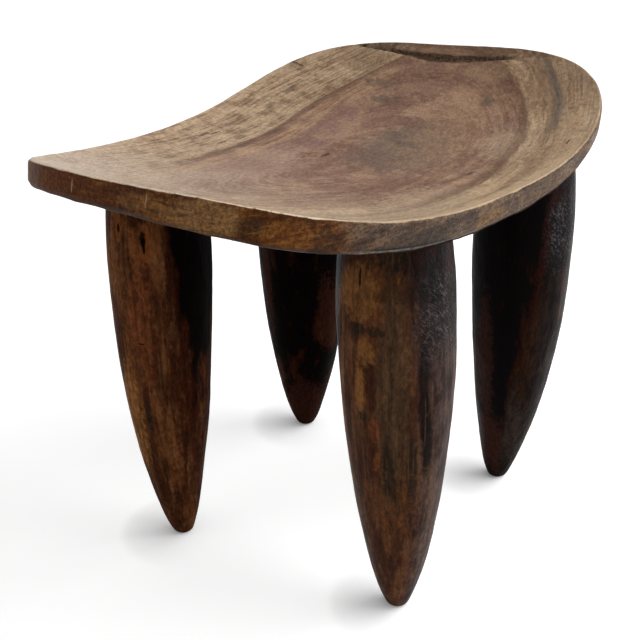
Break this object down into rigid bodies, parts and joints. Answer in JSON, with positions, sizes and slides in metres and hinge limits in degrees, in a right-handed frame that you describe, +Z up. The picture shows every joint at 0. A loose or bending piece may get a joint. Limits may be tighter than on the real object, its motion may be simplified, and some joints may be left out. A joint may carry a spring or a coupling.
{
  "type": "carved wooden stool",
  "caption": "Carved wooden stool with a dished saddle seat, raised at both ends, on tusk-shaped legs that taper to small rounded feet.",
  "frame": {"origin": "on the floor, below the middle of the seat", "axes": "+Z up, +Y along the seat from the near end to the far end, +X to the right seen from the near end"},
  "size_m": [0.408, 0.603, 0.4509],
  "materials": {
    "seat_wood": "worn satin",
    "leg_wood": "dark stained satin"
  },
  "bodies": {
    "root": {"seat": "seat_wood", "leg_front_left": "leg_wood", "leg_front_right": "leg_wood", "leg_back_left": "leg_wood", "leg_back_right": "leg_wood"}
  },
  "joints": []
}
